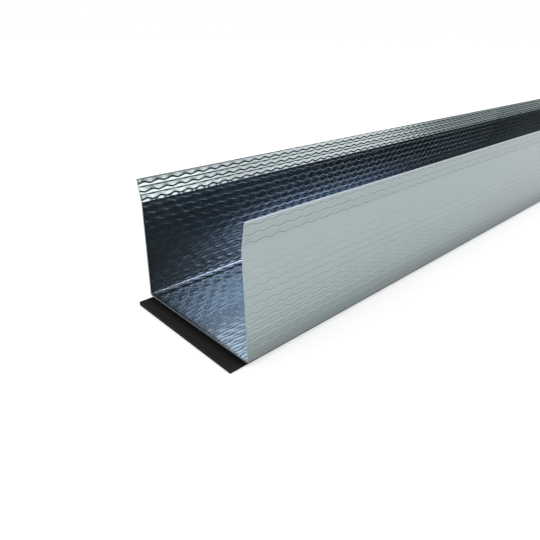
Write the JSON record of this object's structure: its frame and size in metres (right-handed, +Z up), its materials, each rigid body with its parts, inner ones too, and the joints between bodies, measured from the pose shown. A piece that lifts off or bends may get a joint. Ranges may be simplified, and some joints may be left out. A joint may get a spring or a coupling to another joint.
{
  "type": "drywall track",
  "caption": "Galvanised steel channel track for drywall studs, wave-embossed, with tall inward-leaning legs and flared lips, on a black foam sealing strip under its web.",
  "frame": {"origin": "on the floor under the middle of the whole part, at the underside of the sealing strip", "axes": "+Y along the track, away from the end where the strip sticks out; +X across the web; +Z up, from the web to the lips"},
  "size_m": [0.0698, 2.407, 0.057],
  "materials": {
    "galvanised_steel": "galvanised, wave embossed",
    "foam_seal": "matte closed-cell foam"
  },
  "bodies": {
    "root": {"track_channel": "galvanised_steel", "seal_strip": "foam_seal"}
  },
  "joints": []
}
